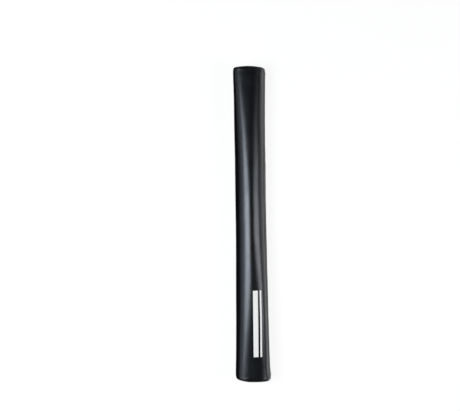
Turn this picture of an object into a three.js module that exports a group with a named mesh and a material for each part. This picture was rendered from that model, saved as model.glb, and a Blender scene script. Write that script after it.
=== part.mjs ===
// Roof rack pad: a foam slab in a vinyl cover, rolled round a roof bar and shut by a hook-and-loop flap.
// Lengths are millimetres. The pad lies on its side along Y, with +Z up, on the flat spot that its own
// weight presses into it. The origin is the middle of its footprint, at the height of that flat spot.

import * as THREE from "three";
import { mergeVertices } from "three/addons/utils/BufferGeometryUtils.js";

// Outer sizes of the cover, without the flap. The middle is round, and the empty ends lie wider and lower.
const padLength = 711;
const middleDiameter = 66.2;
const upperEndWidth = 68.2;
const upperEndHeight = 63;
const lowerEndWidth = 75;
const lowerEndHeight = 60.5;

// Half the angle, seen from the pad's axis, of the flat spot underneath.
const flatSpotHalfAngle = THREE.MathUtils.degToRad(17);

// How late each end starts to widen, how square its section is (2 is an ellipse) and how late that starts.
const upperFlare = 3;
const lowerFlare = 1.3;
const endSquareness = 3.2;
const squareOnset = 3.5;

// The layers, from the outside in. Clearance is left between any two of them.
const coverThickness = 0.9;
const foamThickness = 15.3;
const liningThickness = 0.8;
const clearance = 0.3;

// The foam is cut shorter than the cover, so that the sewn ends stay soft.
const endSlack = 2.6;

// The slit that lets the pad open to take the bar, a little above the middle of its right side.
const slitGap = 0.8;
const slitAngle = THREE.MathUtils.degToRad(2);

// The end panel is sewn to the cover and the lining, and its two edges are rounded.
const panelThickness = 0.9;
const shoulderRadius = 3.2;
const boreEdgeRadius = 2;

// The closure. Widths run round the pad, from the flap's sewn edge down to its free edge.
const flapThickness = 1.1;
const flapAboveSlit = 8;
const flapSewnWidth = 5;
const tapeBelowSlit = 3.5;
const tapeWidth = 16;
const tapeThickness = 1;
const flapMargin = 3;
const flapMarginDrop = 0.9;
const flapEase = 1;
const flapEndInset = 3.6;
const tapeEndInset = 10;

// Steps round the section, along the pad, round each curved edge and across the closure's strips.
const aroundSteps = 36;
const alongSteps = 14;
const edgeSteps = 4;
const flapSteps = 14;
const tapeSteps = 7;

// What follows from those sizes.
const halfLength = padLength / 2;
const coverRadius = middleDiameter / 2;
const foamRadius = coverRadius - coverThickness - clearance;
const liningRadius = foamRadius - foamThickness - clearance;
const boreRadius = liningRadius - liningThickness;
const wallThickness = coverRadius - boreRadius;
const lipDistance = slitGap / 2;
const foamLipDistance = lipDistance + coverThickness + clearance;
const seamPlace = halfLength - shoulderRadius;
const loopTapeLift = clearance;
const hookTapeLift = loopTapeLift + tapeThickness + clearance;
const flapLift = hookTapeLift + tapeThickness + clearance;

const vinyl = new THREE.MeshStandardMaterial({ color: 0x17181b, roughness: 0.42, metalness: 0 });
const panelVinyl = new THREE.MeshStandardMaterial({ color: 0x141517, roughness: 0.46, metalness: 0 });
const foam = new THREE.MeshStandardMaterial({ color: 0x3a3b3e, roughness: 0.95, metalness: 0 });
const liningCloth = new THREE.MeshStandardMaterial({ color: 0x1c1d20, roughness: 0.85, metalness: 0 });
const tapeCloth = new THREE.MeshStandardMaterial({ color: 0x111214, roughness: 0.9, metalness: 0 });

// The cover's half width, half height and squareness at a place along the pad.
function sectionAt(along) {
  const onUpperHalf = along > 0;
  const fromMiddle = Math.abs(along / halfLength);
  const widened = fromMiddle ** (onUpperHalf ? upperFlare : lowerFlare);
  const endWidth = onUpperHalf ? upperEndWidth : lowerEndWidth;
  const endHeight = onUpperHalf ? upperEndHeight : lowerEndHeight;
  return {
    halfWidth: THREE.MathUtils.lerp(middleDiameter, endWidth, widened) / 2,
    halfHeight: THREE.MathUtils.lerp(middleDiameter, endHeight, widened) / 2,
    squareness: THREE.MathUtils.lerp(2, endSquareness, fromMiddle ** squareOnset),
  };
}

// The radius at an angle from +X of the whole section, a rounded oval, or of one that lies a depth inside it.
function ovalRadius(angle, along, depth = 0) {
  const { halfWidth, halfHeight, squareness } = sectionAt(along);
  const across = Math.abs(Math.cos(angle) / (halfWidth - depth)) ** squareness;
  const upright = Math.abs(Math.sin(angle) / (halfHeight - depth)) ** squareness;
  return (across + upright) ** (-1 / squareness);
}

// The height of the pad's axis, which leaves the flat spot at height 0.
const flatSpotEdge = flatSpotHalfAngle - Math.PI / 2;
const axisHeight = (along) => -Math.sin(flatSpotEdge) * ovalRadius(flatSpotEdge, along);

// The cover's radius: the oval, cut off underneath by the flat spot.
function coverRadiusAt(angle, along) {
  const overFlatSpot = Math.sin(angle) < Math.sin(flatSpotEdge);
  return overFlatSpot ? axisHeight(along) / -Math.sin(angle) : ovalRadius(angle, along);
}

// Layers are drawn in a plain round section. Each point then goes where its depth puts it between the
// cover's face and the bore at that place along the pad.
function formed(point, along) {
  const angle = Math.atan2(point.y, point.x);
  const outside = coverRadiusAt(angle, along);
  const inside = ovalRadius(angle, along, wallThickness);
  const radius = THREE.MathUtils.lerp(outside, inside, (coverRadius - point.length()) / wallThickness);
  return new THREE.Vector3(
    radius * Math.cos(angle),
    along,
    axisHeight(along) + radius * Math.sin(angle),
  );
}

const polar = (radius, angle) =>
  new THREE.Vector2(radius * Math.cos(angle), radius * Math.sin(angle));

// A layer's line round the section at one radius, from the upper lip of the slit to the lower one.
function openRing(radius, lip) {
  const lipAngle = Math.asin(lip / radius);
  const sweep = 2 * (Math.PI - lipAngle);
  return Array.from({ length: aroundSteps + 1 }, (_, i) =>
    polar(radius, slitAngle + lipAngle + (sweep * i) / aroundSteps),
  );
}

// The same with both ends of the line turned in along the lips of the slit, down to an inner radius.
function lippedRing(radius, lip, innerRadius) {
  const ring = openRing(radius, lip);
  const foot = (side) =>
    new THREE.Vector2(Math.sqrt(innerRadius ** 2 - lip ** 2), side * lip).rotateAround(
      new THREE.Vector2(),
      slitAngle,
    );
  return [foot(1), ...ring, foot(-1)];
}

// A line round part of the section, from one angle down to another, at a radius that may change.
function strip(fromAngle, toAngle, steps, radiusAt) {
  return Array.from({ length: steps + 1 }, (_, i) => {
    const angle = THREE.MathUtils.lerp(toAngle, fromAngle, i / steps);
    return polar(radiusAt(angle), angle);
  });
}

// Every piece bends at the same places along the pad, so that the layers stay clear of each other.
const bends = Array.from(
  { length: alongSteps + 1 },
  (_, i) => -halfLength * Math.cos((Math.PI * i) / alongSteps),
);

// The rows of a piece: its two ends and the bends between them.
function rows(halfSpan) {
  const between = bends.filter((along) => Math.abs(along) < halfSpan - shoulderRadius);
  return [-halfSpan, ...between, halfSpan].map((along) => ({ along }));
}

// A box's front and back are split into triangles along opposite diagonals. The front's are turned the other
// way, so that the outer face of one layer follows the inner face of the next.
function turnInnerTriangles(box) {
  const corners = box.index.array;
  const front = box.groups[4];
  for (let i = front.start; i < front.start + front.count; i += 6) {
    const [a, b, d, , c] = corners.slice(i, i + 5);
    corners.set([a, b, c, a, c, d], i);
  }
}

// A closed sheet or slab. Each row gives a line of points on its outer face and one on its inner face.
function slab(rowList, outerLine, innerLine) {
  const outer = rowList.map(outerLine);
  const inner = rowList.map(innerLine);
  const acrossSteps = outer[0].length - 1;
  const rowSteps = rowList.length - 1;
  const box = new THREE.BoxGeometry(acrossSteps, rowSteps, 1, acrossSteps, rowSteps, 1);
  box.translate(acrossSteps / 2, rowSteps / 2, 0);
  box.deleteAttribute("normal");
  box.deleteAttribute("uv");
  turnInnerTriangles(box);
  const places = box.getAttribute("position");
  for (let i = 0; i < places.count; i++) {
    const row = Math.round(places.getY(i));
    const lines = places.getZ(i) > 0 ? inner : outer;
    const { point, along } = lines[row][Math.round(places.getX(i))];
    const place = formed(point, along);
    places.setXYZ(i, place.x, place.y, place.z);
  }
  const solid = mergeVertices(box);
  solid.computeVertexNormals();
  return solid;
}

// Gives every point of a line the row's place along the pad.
const placed = (line, along) => line.map((point) => ({ point, along }));

// A sheet of even thickness between two lines that stay the same all along the pad.
const sheet = (rowList, outer, inner) =>
  slab(
    rowList,
    ({ along }) => placed(outer, along),
    ({ along }) => placed(inner, along),
  );

// The foam slab, with the edges of its ends rounded.
function foamCore() {
  const end = halfLength - panelThickness - clearance - endSlack;
  const outerRounding = shoulderRadius - panelThickness - clearance;
  const innerRounding = boreEdgeRadius;
  const span = end - Math.max(outerRounding, innerRounding);
  const edge = (side) =>
    Array.from({ length: edgeSteps }, (_, i) => {
      const turn = (Math.PI / 2) * ((i + 1) / edgeSteps);
      const reach = end - span;
      return { along: side * (span + reach * Math.sin(turn)), trim: 1 - Math.cos(turn) };
    });
  const straight = rows(span).map(({ along }) => ({ along, trim: 0 }));
  const rowList = [...edge(-1).reverse(), ...straight, ...edge(1)];
  return slab(
    rowList,
    ({ along, trim }) => placed(openRing(foamRadius - trim * outerRounding, foamLipDistance), along),
    ({ along, trim }) =>
      placed(openRing(foamRadius - foamThickness + trim * innerRounding, foamLipDistance), along),
  );
}

// The vinyl that covers the slab's outer face and both of its long edges, between the two end seams.
function outerCover() {
  const rowList = rows(seamPlace - clearance);
  return sheet(
    rowList,
    lippedRing(coverRadius, lipDistance, boreRadius),
    lippedRing(coverRadius - coverThickness, lipDistance + coverThickness, boreRadius),
  );
}

// The cloth that lines the bore, between the cover's two turned-in edges.
function boreLining() {
  const rowList = rows(halfLength - boreEdgeRadius - clearance);
  return sheet(
    rowList,
    openRing(liningRadius, foamLipDistance),
    openRing(boreRadius, foamLipDistance),
  );
}

// An end panel: a C-shaped sheet over the slab's end, rounded over the outer edge and into the bore.
function endPanel(side) {
  const rounded = (centreRadius, centreAlong, radius, from, to) =>
    Array.from({ length: edgeSteps + 1 }, (_, i) => {
      const turn = THREE.MathUtils.lerp(from, to, i / edgeSteps);
      return {
        radius: centreRadius + radius * Math.cos(turn),
        along: centreAlong + radius * Math.sin(turn),
      };
    });
  const profile = (depth) => [
    ...rounded(
      coverRadius - shoulderRadius,
      halfLength - shoulderRadius,
      shoulderRadius - depth,
      0,
      Math.PI / 2,
    ),
    ...rounded(
      boreRadius + boreEdgeRadius,
      halfLength - boreEdgeRadius,
      boreEdgeRadius - depth,
      Math.PI / 2,
      Math.PI,
    ),
  ];
  const line = ({ radius, along }) => placed(openRing(radius, lipDistance), side * along);
  const ordered = (points) => (side > 0 ? points : [...points].reverse());
  const outside = ordered(profile(0));
  const inside = ordered(profile(panelThickness));
  const rowList = outside.map((_, i) => ({ index: i }));
  return slab(
    rowList,
    ({ index }) => line(outside[index]),
    ({ index }) => line(inside[index]),
  );
}

// Angles of the closure, found from its widths round the cover.
const roundCover = (width) => width / coverRadius;
const flapTop = slitAngle + roundCover(flapAboveSlit);
const sewnEnd = flapTop - roundCover(flapSewnWidth);
const tapeTop = slitAngle - roundCover(tapeBelowSlit);
const tapeBottom = tapeTop - roundCover(tapeWidth);
const flapBottom = tapeBottom - roundCover(flapMargin);

// How far the flap's inner face stands off the cover: flat where it is sewn, up over the tapes, then down.
function flapHeight(angle) {
  const ease = roundCover(flapEase);
  const climbed = THREE.MathUtils.smoothstep(-angle, -sewnEnd, -tapeTop - ease);
  const dropped = THREE.MathUtils.smoothstep(-angle, -tapeBottom + ease, -flapBottom);
  return THREE.MathUtils.lerp(clearance, flapLift, climbed) - flapMarginDrop * dropped;
}

// The flap that holds the pad shut, sewn on above the slit.
function closingFlap() {
  const face = (lift) =>
    strip(flapTop, flapBottom, flapSteps, (angle) => coverRadius + flapHeight(angle) + lift);
  return sheet(rows(halfLength - flapEndInset), face(flapThickness), face(0));
}

// A strip of hook or loop tape, at a height over the cover.
function tape(lift) {
  const face = (height) => strip(tapeTop, tapeBottom, tapeSteps, () => coverRadius + height);
  return sheet(rows(halfLength - tapeEndInset), face(lift + tapeThickness), face(lift));
}

const pad = new THREE.Group();

function add(name, geometry, material) {
  const mesh = new THREE.Mesh(geometry, material);
  mesh.name = name;
  pad.add(mesh);
}

add("foam_core", foamCore(), foam);
add("outer_cover", outerCover(), vinyl);
add("bore_lining", boreLining(), liningCloth);
add("upper_end_panel", endPanel(1), panelVinyl);
add("lower_end_panel", endPanel(-1), panelVinyl);
add("closing_flap", closingFlap(), vinyl);
add("hook_tape", tape(hookTapeLift), tapeCloth);
add("loop_tape", tape(loopTapeLift), tapeCloth);

// The flap stands out on one side, so the pad moves over to put the middle of its footprint at the origin.
pad.position.x = -new THREE.Box3().setFromObject(pad).getCenter(new THREE.Vector3()).x;

export default pad;
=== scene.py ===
import math

import bpy
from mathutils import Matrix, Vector, noise


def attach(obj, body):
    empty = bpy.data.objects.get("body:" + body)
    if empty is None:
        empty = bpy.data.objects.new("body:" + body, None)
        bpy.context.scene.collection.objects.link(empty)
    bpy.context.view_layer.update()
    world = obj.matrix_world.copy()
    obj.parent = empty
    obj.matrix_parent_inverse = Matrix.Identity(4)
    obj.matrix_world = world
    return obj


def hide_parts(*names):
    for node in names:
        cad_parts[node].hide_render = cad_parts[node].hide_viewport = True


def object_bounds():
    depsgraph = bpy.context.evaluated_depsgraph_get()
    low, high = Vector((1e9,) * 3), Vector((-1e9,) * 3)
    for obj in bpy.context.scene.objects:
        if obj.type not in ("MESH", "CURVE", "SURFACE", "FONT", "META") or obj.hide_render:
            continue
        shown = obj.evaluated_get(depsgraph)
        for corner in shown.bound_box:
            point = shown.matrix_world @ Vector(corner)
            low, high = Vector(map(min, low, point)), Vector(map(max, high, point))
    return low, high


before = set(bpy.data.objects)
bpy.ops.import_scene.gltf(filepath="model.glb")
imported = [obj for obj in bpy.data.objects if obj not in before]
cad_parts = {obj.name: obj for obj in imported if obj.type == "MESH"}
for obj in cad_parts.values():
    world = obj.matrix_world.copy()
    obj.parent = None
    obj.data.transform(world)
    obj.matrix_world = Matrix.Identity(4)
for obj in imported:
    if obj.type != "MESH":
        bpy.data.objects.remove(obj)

# The solids' own box, from which the black flag is placed.
cad_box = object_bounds()


# The foam core is a slab of closed-cell foam, rolled to a tube that opens along a slit. It is cut to
# length and slid into the sewn cover before the lower end is closed, so none of it shows.
foam_grey = (0.035, 0.036, 0.039)
foam_patch = 0.03
foam_cell = 0.0009
foam_cell_depth = 0.0002


class Shade:
    """A node's output that can be used in a Python expression, which then adds Math nodes."""

    def __init__(self, finish, socket):
        self.finish = finish
        self.socket = socket

    def math(self, operation, *values):
        return self.finish.node("ShaderNodeMath", {"operation": operation}, dict(enumerate(values)))

    def __add__(self, other):
        return self.math("ADD", self, other)

    def __rsub__(self, other):
        return self.math("SUBTRACT", other, self)

    def __mul__(self, other):
        return self.math("MULTIPLY", self, other)

    __radd__ = __add__
    __rmul__ = __mul__

    def rising(self, low, high):
        """0 below low, 1 above high, and a smooth rise between them."""
        steps = {"interpolation_type": "SMOOTHSTEP"}
        ends = {"Value": self, "From Min": low, "From Max": high}
        return self.finish.node("ShaderNodeMapRange", steps, ends)


class Finish:
    """A material with one Principled shader, whose own sockets hold what is the same all over."""

    def __init__(self, name, colour, roughness, **constants):
        self.material = bpy.data.materials.new(name)
        self.material.use_nodes = True
        self.tree = self.material.node_tree
        self.shader = self.tree.nodes["Principled BSDF"].inputs
        self.shader["Base Color"].default_value = (*colour, 1)
        self.shader["Roughness"].default_value = roughness
        for socket, value in constants.items():
            self.shader[socket.replace("_", " ")].default_value = value

    def feed(self, socket, value):
        if isinstance(value, Shade):
            self.tree.links.new(value.socket, socket)
        else:
            socket.default_value = value

    def node(self, kind, settings={}, values={}, output=0):
        """Adds a node, makes its settings, feeds its sockets and gives back one of its outputs."""
        made = self.tree.nodes.new(kind)
        for name, setting in settings.items():
            setattr(made, name, setting)
        for socket, value in values.items():
            self.feed(made.inputs[socket], value)
        return Shade(self, made.outputs[output])

    def place(self):
        """Where a point is on the piece, in metres."""
        return self.node("ShaderNodeTexCoord", output=3)

    def noise(self, size, detail=2.0):
        """Soft noise, about 0 to 1, whose spots are a size across."""
        values = {"Vector": self.place(), "Scale": 1 / size, "Detail": detail}
        return self.node("ShaderNodeTexNoise", {"normalize": True}, values)

    def mix(self, share, first, second):
        """Goes from the first colour to the second as the share goes from 0 to 1."""
        first, second = ((*c, 1) if isinstance(c, tuple) else c for c in (first, second))
        return self.node("ShaderNodeMix", {"data_type": "RGBA"}, {0: share, 6: first, 7: second}, 2)

    def tinted(self, share, dark, times):
        """Goes from a dark colour to one that is some times as light."""
        return self.mix(share, dark, tuple(times * c for c in dark))

    def bump(self, height, distance, strength=1.0, under=None):
        """A bumped normal. Height is 0 to 1, and distance is what 1 stands for, in metres."""
        values = {"Height": height, "Distance": distance, "Strength": strength}
        if under:
            values["Normal"] = under
        return self.node("ShaderNodeBump", {}, values)


def coat(piece, finish):
    """Gives a piece one finish all over."""
    piece.data.materials.clear()
    piece.data.materials.append(finish.material)


def foam_finish():
    finish = Finish("closed_cell_foam", foam_grey, roughness=0.95, Specular_IOR_Level=0.25)
    spread = {"Vector": finish.place(), "Scale": 1 / foam_cell}
    cells = finish.node("ShaderNodeTexVoronoi", {}, spread)
    finish.feed(finish.shader["Normal"], finish.bump(cells, foam_cell_depth))
    tint = finish.tinted(finish.noise(foam_patch), foam_grey, times=1.25)
    finish.feed(finish.shader["Base Color"], tint)
    return finish


bpy.ops.object.select_all(action="DESELECT")
coat(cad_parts["foam_core"], foam_finish())


# The cover is smooth black PVC-coated cloth, cut as one panel and drawn round the foam. Both long edges
# turn in over the slit's lips. It is tight and round along the middle, and squares off at the loose ends.
half_length = 0.3555
axis_x = -0.0020
middle_radius = 0.0331
upper_half_width = 0.0341
upper_half_height = 0.0315
lower_half_width = 0.0375
lower_half_height = 0.03025
upper_flare = 3
lower_flare = 1.3
end_squareness = 3.2
square_onset = 3.5

# How much squarer than round the top of the section is at the ends, on its far and its closure side. On
# the lower end's closure side that sets in at once, and it is complete at a share of the half length.
upper_far_squareness = 2.3
upper_near_squareness = 0.5
lower_far_squareness = 1.1
lower_near_squareness = 1.5
lower_near_reach = 0.8

flat_spot_half_angle = math.radians(17)
wall = 0.0176
bore_radius = middle_radius - wall

cover_thickness = 0.0009
clearance = 0.0003
shoulder_radius = 0.0018
slit_angle = math.radians(2)
lip_distance = 0.0004
cover_end = half_length - shoulder_radius - clearance

# The ridge that the pull of the closure raises along the top, and where it fades out at each end.
ridge_height = 0.0009
ridge_angle = math.radians(85)
ridge_width = math.radians(15)
ridge_fades_in = (0.22, 0.04)
ridge_fades_out = (-0.12, -0.26)

# Slow waves and finer ripples in the skin, each with how often it comes round the pad and to a metre of
# its length, then the small puckers beside each end seam and the tuck into that seam. All of it is complete
# where the sine of the angle is above the last value, and fades out from there down to the floor.
wave_height = 0.0004
wave_noise = (1.1, 11)
ripple_height = 0.00007
ripple_noise = (3.5, 40)
ripple_shift = 5
pucker_height = 0.00035
pucker_count = 21
pucker_wander = 3
pucker_wander_noise = 2
pucker_least = 0.6
pucker_least_noise = 4
pucker_reach = 0.009
tuck_depth = 0.0003
tuck_reach = 0.0007
off_floor_sine = -0.8

# How each end's seam is bowed: how far it is drawn in on the far side and on the closure's side, where
# across the pad it stands out most, by how much, and the power that the bow grows with. It levels off
# towards the closure, and a stretch of the pad beside the seam gives way to it.
upper_bow = (0.0024, 0.0023, -0.08, 0, 1.6)
lower_bow = (0.0042, 0.0010, 0.15, 0.0008, 2.5)
bow_levels_off = 0.72
bow_reach = 0.05

# How much fuller the closure's side gets towards each end, and how far from it that starts and stops.
upper_fullness = 0.0015
upper_fullness_reach = (0.130, 0.015)
lower_fullness = 0.0018
lower_fullness_reach = (0.032, 0.004)

# Past the tapes' ends the foam fills the room that they take up under the flap.
closure_fullness = 0.0016
closure_reach = (0.015, -0.002)

# The foam fills the cover tight up to its loose ends. There it has a little cloth to spare, which settles
# between the seams in a simulation, and moves no farther than the two caps. It is wholly loose over a share
# of the reach from the end seam, and then held more and more.
cloth_pressure = 4
cloth_slack = 0.0025
cloth_stiffness = 5
cloth_quality = 5
cloth_frames = 20
seam_width = 0.0001
loose_reach = 0.060
loose_share = 0.4
cloth_cap_out = 0.0003
cloth_cap_in = 0.00015

# Where the closing flap will lie over the cover, measured round it from the slit.
round_cover = 1 / middle_radius
flap_above_slit = 0.008
flap_below_slit = 0.0225
flap_margin = 0.002

cover_columns = 112
cover_rows = 176
end_crowding = 0.5
lip_share = 8 / cover_columns

vinyl_black = (0.0024, 0.0028, 0.0036)
vinyl_dusty = (0.0036, 0.0040, 0.0047)
vinyl_sheen = (0.90, 0.94, 1.0, 1)
vinyl_index = 1.55
vinyl_roughness = 0.28
rough_patch = 0.018
rough_patch_adds = 0.06
dust_patch = 0.05
dust_range = (0.45, 0.8)
dust_adds = 0.03
grain_size = 0.0007
grain_roundness = 0.6
grain_depth = 0.00002
orange_peel_size = 0.004
orange_peel_depth = 0.00003

# The print is a wide and a narrow white stripe, side by side on the closure's side near the lower end.
ink_white = (0.95, 0.92, 0.87)
ink_roughness_adds = 0.1
stripe_edges = (
    (math.radians(84), math.radians(65)),
    (math.radians(58), math.radians(52)),
)
stripe_from = -0.150
stripe_to = -0.300
stripe_blur = 0.0004


def blend(low, high, share):
    return low + (high - low) * share


def smooth(low, high, value):
    """0 at low and beyond it, 1 at high and beyond it, in either order."""
    share = min(max((value - low) / (high - low), 0), 1)
    return share * share * (3 - 2 * share)


def top_squareness(angle, along):
    """The exponent of the section's upper half, which is 2 where it is round."""
    near = math.cos(angle) > 0
    share = abs(along) / half_length
    if along > 0:
        squareness = upper_near_squareness if near else upper_far_squareness
        return 2 + squareness * share ** square_onset
    if near:
        return 2 + lower_near_squareness * smooth(0, lower_near_reach, share)
    return 2 + lower_far_squareness * share ** square_onset


def oval_radius(angle, along, depth=0.0):
    """The radius of the whole section at an angle from +X, or of one that lies a depth inside it."""
    upper = along > 0
    from_middle = abs(along / half_length)
    widened = from_middle ** (upper_flare if upper else lower_flare)
    half_width = blend(middle_radius, upper_half_width if upper else lower_half_width, widened)
    half_height = blend(middle_radius, upper_half_height if upper else lower_half_height, widened)
    squareness = blend(2, end_squareness, from_middle ** square_onset)
    if depth == 0 and math.sin(angle) > 0:
        squareness = top_squareness(angle, along)
    across = abs(math.cos(angle) / (half_width - depth)) ** squareness
    upright = abs(math.sin(angle) / (half_height - depth)) ** squareness
    return (across + upright) ** (-1 / squareness)


flat_spot_edge = flat_spot_half_angle - math.pi / 2


def axis_height(along):
    """The height of the pad's axis over the floor."""
    return -math.sin(flat_spot_edge) * oval_radius(flat_spot_edge, along)


def skin_radius(angle, along):
    """The smooth section's radius, cut off underneath by the flat spot."""
    if math.sin(angle) < math.sin(flat_spot_edge):
        return axis_height(along) / -math.sin(angle)
    from_end = half_length - abs(along)
    if along > 0:
        fullness = upper_fullness * smooth(*upper_fullness_reach, from_end)
    else:
        fullness = lower_fullness * smooth(*lower_fullness_reach, from_end)
    fullness += closure_fullness * smooth(*closure_reach, from_end)
    return oval_radius(angle, along) + fullness * max(math.cos(angle), 0) ** 3


def relief(angle, along):
    """How far the skin stands over the smooth section, which it does nowhere on the flat spot."""
    ridge = math.exp(-(((angle - ridge_angle) / ridge_width) ** 2))
    ridge *= smooth(*ridge_fades_in, along) * (1 - smooth(*ridge_fades_out, along))
    around = Vector((math.cos(angle), math.sin(angle), 0))
    waves = noise.noise(around * wave_noise[0] + Vector((0, 0, along * wave_noise[1])))
    shifted = along * ripple_noise[1] + ripple_shift
    ripples = noise.noise(around * ripple_noise[0] + Vector((0, 0, shifted)))
    from_seam = cover_end - abs(along)
    wander = noise.noise(around * pucker_wander_noise + Vector((0, 0, along)))
    puckers = 0.5 + 0.5 * math.cos(pucker_count * angle + pucker_wander * wander)
    puckers *= math.exp(-from_seam / pucker_reach)
    puckers *= pucker_least + noise.noise(around * pucker_least_noise)
    tuck = math.exp(-((from_seam / tuck_reach) ** 2))
    height = ridge_height * ridge + wave_height * waves + ripple_height * ripples
    height += pucker_height * puckers - tuck_depth * tuck
    off_floor = smooth(math.sin(flat_spot_edge), off_floor_sine, math.sin(angle))
    return height * off_floor


def placed(angle, along, radius):
    """A point at a radius from the pad's axis. Near the ends it gives way to the bowed end seams."""
    across = math.cos(angle)
    end = 1 if along > 0 else -1
    far_bow, near_bow, middle, bulge, power = upper_bow if end > 0 else lower_bow
    bow = near_bow if across > middle else far_bow
    drawn_in = bow * abs(min(across, bow_levels_off) - middle) ** power - bulge
    drawn_in *= smooth(half_length - bow_reach, half_length, abs(along))
    height = axis_height(along) + radius * math.sin(angle)
    return Vector((axis_x + radius * across, along - end * drawn_in, height))


def on_skin(angle, along, lift=0.0):
    """A point over the skin, by its angle from +X round the axis and its place along the pad."""
    return placed(angle, along, skin_radius(angle, along) + relief(angle, along) + lift)


def in_wall(angle, along, depth):
    """A point that lies a depth inside the smooth section, as the layers of the wall do."""
    outside = skin_radius(angle, along)
    inside = oval_radius(angle, along, wall)
    return placed(angle, along, blend(outside, inside, depth / wall))


def shaped_grid(name, columns, rows, place):
    """Adds a flat grid and moves each point to where place puts its share across and along."""
    bpy.ops.object.select_all(action="DESELECT")
    bpy.ops.mesh.primitive_grid_add(x_subdivisions=columns, y_subdivisions=rows, size=1)
    piece = bpy.context.object
    piece.name = piece.data.name = name
    for vertex in piece.data.vertices:
        vertex.co = place(vertex.co.x + 0.5, vertex.co.y + 0.5)
    bpy.ops.object.shade_smooth()
    return piece


def apply_modifier(piece, kind, **settings):
    """Adds a modifier, sets it and applies it."""
    bpy.context.view_layer.objects.active = piece
    modifier = piece.modifiers.new(kind.lower(), kind)
    for name, value in settings.items():
        setattr(modifier, name, value)
    bpy.ops.object.modifier_apply(modifier=modifier.name)


def grid_shares(piece):
    """The shares across and along of each point of a shaped grid, from its UV map."""
    chart = piece.data.uv_layers["UVMap"].uv
    return {loop.vertex_index: tuple(chart[loop.index].vector) for loop in piece.data.loops}


def cover_along(along_share):
    """The rows lie closer together towards the ends."""
    even = 1 - 2 * along_share
    return cover_end * blend(even, math.cos(math.pi * along_share), end_crowding)


def cover_angle(across):
    """The angle round the pad at a share across the cover, its turned-in lips included."""
    lip_angle = lip_distance * round_cover
    round_share = min(max((across - lip_share) / (1 - 2 * lip_share), 0), 1)
    return slit_angle + blend(lip_angle, 2 * math.pi - lip_angle, round_share)


def cover_place(across, along_share):
    """The cover's path across: up the slit's one lip, round the pad, and down the other lip."""
    angle = cover_angle(across)
    along = cover_along(along_share)
    in_lip = 1 - min(across, 1 - across) / lip_share
    if in_lip > 0:
        return in_wall(angle, along, wall * in_lip)
    return on_skin(angle, along)


def cover_hold(across, along_share):
    """How firmly a point is held: wholly by the seams, flap and tight foam, less at the loose ends."""
    angle = cover_angle(across)
    round_slit = (min(angle, angle - 2 * math.pi, key=abs) - slit_angle) / round_cover
    from_seam = cover_end - abs(cover_along(along_share))
    under_flap = -flap_below_slit - flap_margin < round_slit < flap_above_slit + flap_margin
    if under_flap or from_seam < seam_width:
        return 1
    return smooth(loose_share * loose_reach, loose_reach, from_seam)


def settle(piece, hold):
    """Lets the loose cloth settle under the foam's pressure, and then caps how far each point went."""
    start = [vertex.co.copy() for vertex in piece.data.vertices]
    held = piece.vertex_groups.new(name="held")
    for index, (across, along_share) in grid_shares(piece).items():
        on_floor = start[index].z < clearance
        held.add([index], 1 if on_floor else hold(across, along_share), "REPLACE")
    cloth = piece.modifiers.new("cloth", "CLOTH")
    cloth.settings.quality = cloth_quality
    cloth.settings.use_pressure = True
    cloth.settings.uniform_pressure_force = cloth_pressure
    cloth.settings.bending_stiffness = cloth_stiffness
    cloth.settings.shrink_min = -cloth_slack
    cloth.settings.vertex_group_mass = "held"
    cloth.settings.effector_weights.gravity = 0
    cloth.collision_settings.use_collision = False
    cloth.point_cache.frame_start = 1
    cloth.point_cache.frame_end = cloth_frames
    for step in range(1, cloth_frames + 1):
        bpy.context.scene.frame_set(step)
    bpy.context.view_layer.objects.active = piece
    bpy.ops.object.modifier_apply(modifier="cloth")
    bpy.context.scene.frame_set(1)
    for vertex, place in zip(piece.data.vertices, start):
        outward = Vector((place.x - axis_x, 0, place.z - axis_height(place.y))).normalized()
        moved = (vertex.co - place).dot(outward)
        cap = cloth_cap_out if moved > 0 else cloth_cap_in
        vertex.co = place + outward * cap * math.tanh(moved / cap)


def vinyl_finish(name, printed=False):
    """Black vinyl with a very fine grain, and on the cover a plain white double stripe."""
    sheen = {"IOR": vinyl_index, "Specular_Tint": vinyl_sheen}
    finish = Finish(name, vinyl_black, vinyl_roughness, **sheen)
    dust = finish.noise(dust_patch, detail=4).rising(*dust_range)
    colour = finish.mix(dust, vinyl_black, vinyl_dusty)
    roughness = vinyl_roughness + rough_patch_adds * finish.noise(rough_patch, detail=3)
    roughness = roughness + dust_adds * dust
    grain = finish.node(
        "ShaderNodeTexVoronoi",
        {"feature": "SMOOTH_F1"},
        {"Vector": finish.place(), "Scale": 1 / grain_size, "Smoothness": grain_roundness},
    )
    grained = finish.bump(grain, grain_depth)
    normal = finish.bump(finish.noise(orange_peel_size), orange_peel_depth, under=grained)
    if printed:
        ink = printed_stripes(finish)
        colour = finish.mix(ink, colour, ink_white)
        roughness = roughness + ink_roughness_adds * ink
    finish.feed(finish.shader["Base Color"], colour)
    finish.feed(finish.shader["Roughness"], roughness)
    finish.feed(finish.shader["Normal"], normal)
    return finish


def printed_stripes(finish):
    """1 on the ink and 0 off it: across from the cover's own UV map, and along from the place."""
    chart = finish.node("ShaderNodeUVMap", {"uv_map": "UVMap"})
    across = finish.node("ShaderNodeSeparateXYZ", {}, {0: chart})
    along = finish.node("ShaderNodeSeparateXYZ", {}, {0: finish.place()}, 1)

    def past(shade, edge):
        return shade.rising(edge - stripe_blur, edge + stripe_blur)

    def across_share(angle):
        return lip_share + (1 - 2 * lip_share) * (angle - slit_angle) / (2 * math.pi)

    ink = 0
    for high, low in stripe_edges:
        before_high = 1 - past(across, across_share(high))
        ink = ink + past(across, across_share(low)) * before_high
    before_start = 1 - past(along, stripe_from)
    return ink * past(along, stripe_to) * before_start


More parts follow.
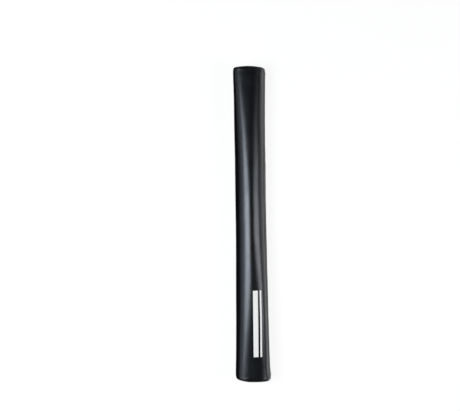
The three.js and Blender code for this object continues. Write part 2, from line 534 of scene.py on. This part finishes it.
cover = shaped_grid("cover", cover_columns, cover_rows, cover_place)
settle(cover, cover_hold)
apply_modifier(cover, "SOLIDIFY", thickness=cover_thickness, offset=-1)
coat(cover, vinyl_finish("cover_vinyl", printed=True))
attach(cover, "root")
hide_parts("outer_cover")


# The lining of the bar channel is a matt coated cloth, sewn in between the cover's two turned-in edges.
# It grips the bar, so that the pad doesn't turn on it.
lining_thickness = 0.0008
lining_end = half_length - 0.0023
foam_lip_distance = 0.0016
lining_black = (0.016, 0.0165, 0.018)
lining_patch = 0.02
weave_counts = (110, 780, 1)
weave_depth = 0.0001


def lining_place(across, along_share):
    along = blend(lining_end, -lining_end, along_share)
    lip_angle = math.asin(foam_lip_distance / bore_radius)
    angle = slit_angle + blend(lip_angle, 2 * math.pi - lip_angle, across)
    return in_wall(angle, along, wall - lining_thickness)


def lining_finish():
    finish = Finish("grip_cloth", lining_black, roughness=0.85, Specular_IOR_Level=0.3)
    chart = finish.node("ShaderNodeUVMap", {"uv_map": "UVMap"})
    stretched = finish.node("ShaderNodeMapping", {}, {"Vector": chart, "Scale": weave_counts})
    weave = finish.node("ShaderNodeTexChecker", {}, {"Vector": stretched, "Scale": 1.0}, 1)
    finish.feed(finish.shader["Normal"], finish.bump(weave, weave_depth, strength=0.6))
    tint = finish.tinted(finish.noise(lining_patch), lining_black, times=1.4)
    finish.feed(finish.shader["Base Color"], tint)
    return finish


lining = shaped_grid("lining", columns=60, rows=60, place=lining_place)
apply_modifier(lining, "SOLIDIFY", thickness=lining_thickness, offset=-1)
coat(lining, lining_finish())
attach(lining, "root")
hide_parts("bore_lining")


# Each end is closed by a C-shaped panel of the same cloth with its matt back outside, seamed to the cover
# on its rounded rim and to the lining inside the bore. The two are alike, for the two ends.
panel_thickness = 0.0009
panel_bulge = 0.0009
panel_dent = 0.0005
panel_dent_noise = 2.5
panel_sag = 0.0003
bore_edge_radius = 0.002
rim_tuck = 0.0003
rim_tuck_reach = 0.0007
panel_black = (0.0065, 0.0067, 0.0074)
panel_patch = 0.012
panel_thread = 0.0009
panel_thread_depth = 0.00008


def panel_profile(share):
    """Depth under the skin and distance from the pad's end, from the rim over the face into the bore."""
    rim = math.pi / 2 * shoulder_radius
    face = wall - shoulder_radius - bore_edge_radius
    inner = math.pi / 2 * bore_edge_radius
    walked = share * (rim + face + inner)
    if walked < rim:
        turn = walked / shoulder_radius
        return (
            shoulder_radius * (1 - math.cos(turn)),
            shoulder_radius * (1 - math.sin(turn)),
        )
    if walked < rim + face:
        return shoulder_radius + walked - rim, 0.0
    turn = min((walked - rim - face) / bore_edge_radius, math.pi / 2)
    return (
        wall - bore_edge_radius + bore_edge_radius * math.sin(turn),
        bore_edge_radius * (1 - math.cos(turn)),
    )


def panel_place(side):
    """Places the panel of one end, which the foam pushes out a little past the seam."""

    def place(across, profile_share):
        depth, inset = panel_profile(profile_share)
        along = side * (half_length + panel_bulge - inset * (1 + panel_bulge / shoulder_radius))
        lip_angle = lip_distance * round_cover
        turned = across if side < 0 else 1 - across
        angle = slit_angle + blend(lip_angle, 2 * math.pi - lip_angle, turned)
        around = Vector((math.cos(angle), math.sin(angle), side))
        if depth < wall / 2:
            depth += rim_tuck * math.exp(-(((shoulder_radius - inset) / rim_tuck_reach) ** 2))
        point = in_wall(angle, along, depth)
        dent = panel_dent * noise.noise(around * panel_dent_noise) - panel_sag
        point.y += side * dent * math.sin(math.pi * profile_share)
        return point

    return place


def panel_finish():
    finish = Finish("panel_cloth", panel_black, roughness=0.45)
    threads = finish.noise(panel_thread, detail=1)
    finish.feed(finish.shader["Normal"], finish.bump(threads, panel_thread_depth))
    tint = finish.tinted(finish.noise(panel_patch, detail=3), panel_black, times=1.5)
    finish.feed(finish.shader["Base Color"], tint)
    return finish


panel_material = panel_finish()
for side, end in ((1, "upper"), (-1, "lower")):
    panel = shaped_grid(end + "_panel", columns=120, rows=22, place=panel_place(side))
    apply_modifier(panel, "SOLIDIFY", thickness=panel_thickness, offset=-1)
    coat(panel, panel_material)
    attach(panel, "root")
    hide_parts(end + "_end_panel")


# The loop tape is sewn to the cover under the slit, and the hook tape to the inside of the flap. Pressed
# together they hold the pad shut. Both are black woven strips, and only their edges show, from below.
tape_below_slit = 0.0035
tape_width = 0.016
tape_top = slit_angle - tape_below_slit * round_cover
tape_bottom = tape_top - tape_width * round_cover
tape_thickness = 0.001
tape_end = half_length - 0.012
tape_black = (0.010, 0.0102, 0.011)
tuft_size = 0.0006
tuft_depth = 0.0004
tuft_range = (0.4, 0.7)


def tape_finish():
    finish = Finish("hook_and_loop", tape_black, roughness=0.95, Specular_IOR_Level=0.2)
    tufts = finish.noise(tuft_size, detail=3)
    finish.feed(finish.shader["Normal"], finish.bump(tufts, tuft_depth))
    tint = finish.tinted(tufts.rising(*tuft_range), tape_black, times=2.2)
    finish.feed(finish.shader["Base Color"], tint)
    return finish


def tape_place(lift):
    """Places a tape that lies a lift over the skin."""

    def place(across, along_share):
        angle = blend(tape_bottom, tape_top, across)
        along = blend(tape_end, -tape_end, along_share)
        return on_skin(angle, along, lift + tape_thickness)

    return place


tape_material = tape_finish()
for name, lift in (("loop_tape", clearance), ("hook_tape", 2 * clearance + tape_thickness)):
    tape = shaped_grid(name + "_strip", columns=10, rows=150, place=tape_place(lift))
    apply_modifier(tape, "SOLIDIFY", thickness=tape_thickness, offset=-1)
    coat(tape, tape_material)
    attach(tape, "root")
    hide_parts(name)


# The closing flap is a doubled strip of the cover's vinyl. It is sewn on above the slit, reaches down over
# the tapes, and its free edge waves a little where it isn't held down.
flap_thickness = 0.0011
flap_seam = 0.005
flap_top = slit_angle + flap_above_slit * round_cover
flap_sewn = flap_top - flap_seam * round_cover
flap_bottom = slit_angle - flap_below_slit * round_cover
flap_end = half_length - 0.0008
flap_corner = 0.010
flap_edge_share = 0.3
flap_edge_radius = 0.0003

# The flap climbs over the tapes, drops towards its free edge, and lies closer to the cover past the tapes.
flap_lift = 3 * clearance + 2 * tape_thickness
flap_ease = 0.001
flap_drop = 0.0009
flap_hug = 0.9

# The waves along the free edge and the small buckles over the tapes. Each has how many come to a metre, how
# far they change across the flap, and which row of the noise they follow.
flap_wave = 0.0011
flap_wave_noise = (19, 0, 2.5)
flap_wave_least = 0.3
flap_buckle = 0.0003
flap_buckle_noise = (34, 2, 7.5)


def flap_fullness(angle):
    """The flap is pared thin along its sewn edge, down to a share of its thickness."""
    return blend(flap_edge_share, 1, smooth(flap_top, flap_sewn, angle))


def flap_noise(angle, along, to_metre, across, row):
    return noise.noise(Vector((along * to_metre, row, angle * across)))


def flap_height(angle, along):
    """How far the flap's outer face stands over the skin. Beyond the tapes' ends it hugs the cover."""
    climbed = smooth(flap_sewn, tape_top + flap_ease * round_cover, angle)
    climbed *= 1 - flap_hug * smooth(tape_end + flap_ease, flap_end, abs(along))
    dropped = smooth(tape_bottom - flap_ease * round_cover, flap_bottom, angle)
    lift = blend(clearance, flap_lift, climbed) - flap_drop * dropped * climbed
    wave = flap_wave * (flap_wave_least + flap_noise(angle, along, *flap_wave_noise)) * dropped
    buckle = flap_buckle * abs(flap_noise(angle, along, *flap_buckle_noise)) * climbed
    return lift + flap_thickness * flap_fullness(angle) + max(wave, 0) + buckle


def flap_place(across, along_share):
    """As a plain strip, with the two free corners rounded off."""
    angle = blend(flap_bottom, flap_top, across)
    from_edge = (angle - flap_bottom) / round_cover
    cut = 0.0
    if from_edge < flap_corner:
        cut = flap_corner - math.sqrt(max(flap_corner**2 - (flap_corner - from_edge) ** 2, 0))
    along = blend(flap_end - cut, cut - flap_end, along_share)
    return on_skin(angle, along, flap_height(angle, along))


flap = shaped_grid("flap", columns=36, rows=230, place=flap_place)
fullness = flap.vertex_groups.new(name="fullness")
for index, (across, along_share) in grid_shares(flap).items():
    fullness.add([index], flap_fullness(blend(flap_bottom, flap_top, across)), "REPLACE")
apply_modifier(flap, "SOLIDIFY", thickness=flap_thickness, offset=-1, vertex_group="fullness")
edges = {"limit_method": "ANGLE", "angle_limit": math.radians(50)}
apply_modifier(flap, "BEVEL", width=flap_edge_radius, segments=2, **edges)
coat(flap, vinyl_finish("flap_vinyl"))
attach(flap, "root")
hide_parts("closing_flap")


# The stitching is black bonded thread in a plain lockstitch: one row holds the flap to the cover, and two
# more hold the hook tape to the flap, a little in from the tape's edges.
stitch_length = 0.0030
stitch_pitch = 0.0042
stitch_radius = 0.0002
stitch_sunk = 0.25
seam_inset = 0.0025
tape_seam_inset = 0.002
stitch_rows = (
    flap_top - seam_inset * round_cover,
    tape_top - tape_seam_inset * round_cover,
    tape_bottom + tape_seam_inset * round_cover,
)
thread_black = (0.009, 0.009, 0.010)
twist_count = 900.0
twist_depth = 0.00005


def thread_finish():
    finish = Finish("bonded_thread", thread_black, roughness=0.35)
    twist = finish.node(
        "ShaderNodeTexWave",
        {"bands_direction": "DIAGONAL"},
        {"Vector": finish.place(), "Scale": twist_count},
    )
    finish.feed(finish.shader["Normal"], finish.bump(twist, twist_depth))
    finish.feed(finish.shader["Base Color"], finish.tinted(twist, thread_black, times=1.6))
    return finish


def stitch_row(name, angle):
    """One stitch, repeated along the flap by an array, and each point then laid on the flap."""
    count = int(2 * flap_end / stitch_pitch) - 1
    spacing = 4
    bpy.ops.object.select_all(action="DESELECT")
    bpy.ops.mesh.primitive_uv_sphere_add(segments=6, ring_count=4, radius=1)
    row = bpy.context.object
    row.name = row.data.name = name
    steps = {"use_relative_offset": False, "use_constant_offset": True}
    apply_modifier(row, "ARRAY", count=count, constant_offset_displace=(0, spacing, 0), **steps)
    for vertex in row.data.vertices:
        number = round(vertex.co.y / spacing)
        along = (number - (count - 1) / 2) * stitch_pitch
        along += (vertex.co.y - number * spacing) * stitch_length / 2
        sideways = vertex.co.x * stitch_radius * round_cover
        height = stitch_sunk + (1 - stitch_sunk) * vertex.co.z
        lift = flap_height(angle, along) + stitch_radius * height
        vertex.co = on_skin(angle + sideways, along, lift)
    bpy.ops.object.mode_set(mode="EDIT")
    bpy.ops.mesh.select_all(action="SELECT")
    bpy.ops.mesh.normals_make_consistent(inside=False)
    bpy.ops.object.mode_set(mode="OBJECT")
    bpy.ops.object.shade_smooth()
    return row


thread_material = thread_finish()
for number, angle in enumerate(stitch_rows, start=1):
    row = stitch_row("flap_stitches_%d" % number, angle)
    coat(row, thread_material)
    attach(row, "root")


# The studio: a pale floor, an oval softbox on each side of the pad, a weak bounce on the left and a dim room.
# The camera looks straight down from over a point a little to the left of the pad and above its middle.
floor_white = (0.83, 0.82, 0.80)
floor_size = 8
paper_patch = 0.4
camera_height = 1.6927
camera_x = -0.0475
camera_y = 0.0424
camera_turn = math.radians(-0.82)
camera_lens = 56.7

# How much of its shadow the ground shows, and how bright its plain white is to the camera and in gloss.
floor_shadow_share = 0.18
floor_glow = 1.08
floor_glow_in_gloss = 0.75


def floor_finish():
    """Pale paper, of which a share is plain white to the camera, so that the ground comes out white."""
    finish = Finish("studio_floor", floor_white, roughness=0.9, Specular_IOR_Level=0.0)
    paper = finish.tinted(finish.noise(paper_patch), floor_white, times=1.02)
    finish.feed(finish.shader["Base Color"], paper)
    in_gloss = finish.node("ShaderNodeLightPath", output=3)
    path = finish.node("ShaderNodeLightPath") + floor_glow_in_gloss * in_gloss
    white = finish.node("ShaderNodeEmission", {}, {"Color": (1, 1, 1, 1), "Strength": floor_glow})
    surface = finish.tree.nodes["Material Output"].inputs["Surface"]
    lit = Shade(finish, finish.tree.nodes["Principled BSDF"].outputs[0])
    share = path * (1 - floor_shadow_share)
    finish.feed(surface, finish.node("ShaderNodeMixShader", {}, {0: share, 1: lit, 2: white}))
    return finish


bpy.ops.mesh.primitive_plane_add(size=floor_size)
floor = bpy.context.object
floor.name = "studio_floor"
coat(floor, floor_finish())


# Each lamp's tilt to one side in degrees, two sizes, place along the pad, radiance and tint.
lamp_distance = 1.7
lamps = {
    "left_softbox": (-30, 0.80, 0.90, -0.09, 12.8, (0.89, 0.94, 1.0)),
    "left_bounce": (-61, 0.9, 1.6, -0.06, 1.05, (0.84, 0.90, 1.0)),
    "right_softbox": (54, 1.15, 0.74, -0.15, 5.8, (0.98, 0.98, 1.0)),
}


def softbox(name, degrees, across, length, along, radiance, colour):
    """An oval area lamp that faces the pad."""
    tilt = math.radians(degrees)
    bpy.ops.object.light_add(type="AREA")
    lamp = bpy.context.object
    lamp.name = name
    lamp.location = (lamp_distance * math.sin(tilt), along, lamp_distance * math.cos(tilt))
    lamp.rotation_euler = (0, tilt, 0)
    lamp.data.shape = "ELLIPSE"
    lamp.data.size = across
    lamp.data.size_y = length
    lamp.data.energy = radiance * math.pi * math.pi * across * length / 4
    lamp.data.color = colour


for name, settings in lamps.items():
    softbox(name, *settings)


# A black card stands beside the pad, as a studio's flag does. Only reflections show it: it darkens the
# edge of the pad's far side, and throws no shadow.
flag_gap = 0.010
flag_height = 0.053
flag_length = 0.80
flag_black = (0.01, 0.01, 0.01)

bpy.ops.object.select_all(action="DESELECT")
bpy.ops.mesh.primitive_plane_add(size=1)
flag = bpy.context.object
flag.name = "black_flag"
for vertex in flag.data.vertices:
    up, along = vertex.co.x + 0.5, vertex.co.y
    vertex.co = (cad_box[0][0] - flag_gap, along * flag_length, up * flag_height)
coat(flag, Finish("flag_cloth", flag_black, roughness=1.0, Specular_IOR_Level=0.0))
flag.visible_camera = flag.visible_diffuse = flag.visible_shadow = False


# The room is dim and a little blue, and plain white where the camera sees it past the floor.
room_blue = (0.82, 0.90, 1.0, 1)
room_strength = 0.035

room = bpy.data.worlds.new("studio_room")
bpy.context.scene.world = room
room.use_nodes = True
nodes = room.node_tree.nodes
links = room.node_tree.links
backdrop = nodes.new("ShaderNodeBackground")
backdrop.inputs["Color"].default_value = (1, 1, 1, 1)
fill = nodes["Background"]
fill.inputs["Color"].default_value = room_blue
fill.inputs["Strength"].default_value = room_strength
seen = nodes.new("ShaderNodeLightPath")
choice = nodes.new("ShaderNodeMixShader")
links.new(seen.outputs["Is Camera Ray"], choice.inputs[0])
links.new(fill.outputs[0], choice.inputs[1])
links.new(backdrop.outputs[0], choice.inputs[2])
links.new(choice.outputs[0], nodes["World Output"].inputs[0])

camera_place = (camera_x, camera_y, camera_height)
bpy.ops.object.camera_add(location=camera_place, rotation=(0, 0, camera_turn))
camera = bpy.context.object
camera.data.lens = camera_lens
bpy.context.scene.camera = camera
bpy.context.scene.view_settings.view_transform = "Standard"
